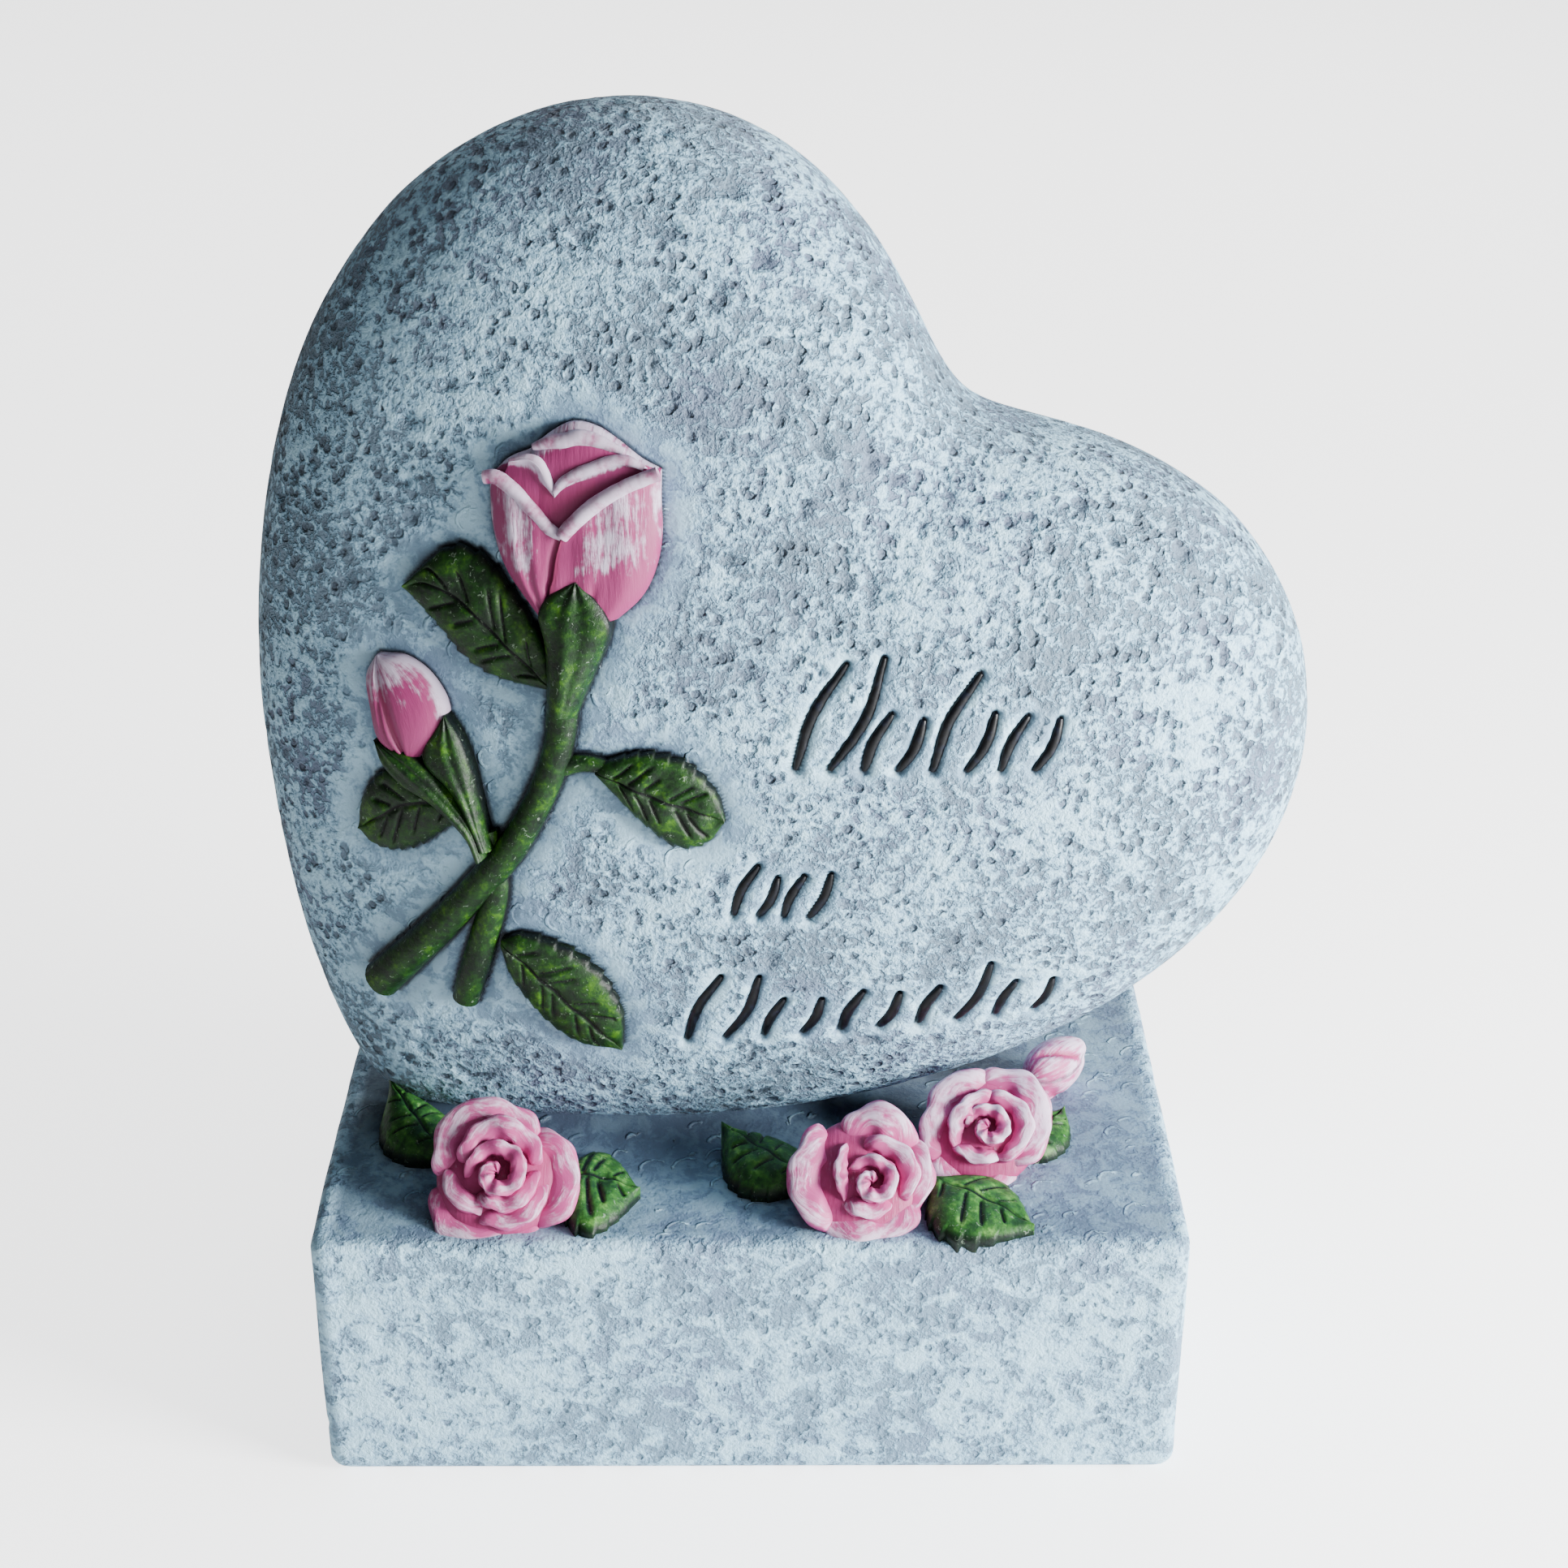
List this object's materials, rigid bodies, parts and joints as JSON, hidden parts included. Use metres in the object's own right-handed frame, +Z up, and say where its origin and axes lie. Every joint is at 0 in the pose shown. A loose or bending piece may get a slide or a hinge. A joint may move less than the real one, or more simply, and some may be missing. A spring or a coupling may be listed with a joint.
{
  "type": "grave heart ornament",
  "caption": "Plump heart turned aslant on an oblong plinth, with a rose in relief and rows of engraved strokes on its face and roses with leaves at its foot.",
  "frame": {"origin": "centre of the plinth's underside", "axes": "+Z up, +Y from the decorated front to the back, +X to the right of a person who faces the front"},
  "size_m": [0.157, 0.09, 0.1966],
  "materials": {
    "casting_stone": "matt blue-grey stone casting, dry-brushed with pale ice blue",
    "petal_paint": "matt pink paint on the casting, dry-brushed white on rims and ridges",
    "leaf_paint": "satin dark green paint on the casting with yellow-green lights",
    "stroke_paint": "glossy blue-black paint in the engraved strokes"
  },
  "bodies": {
    "root": {"grave_heart": "casting_stone"}
  },
  "joints": []
}
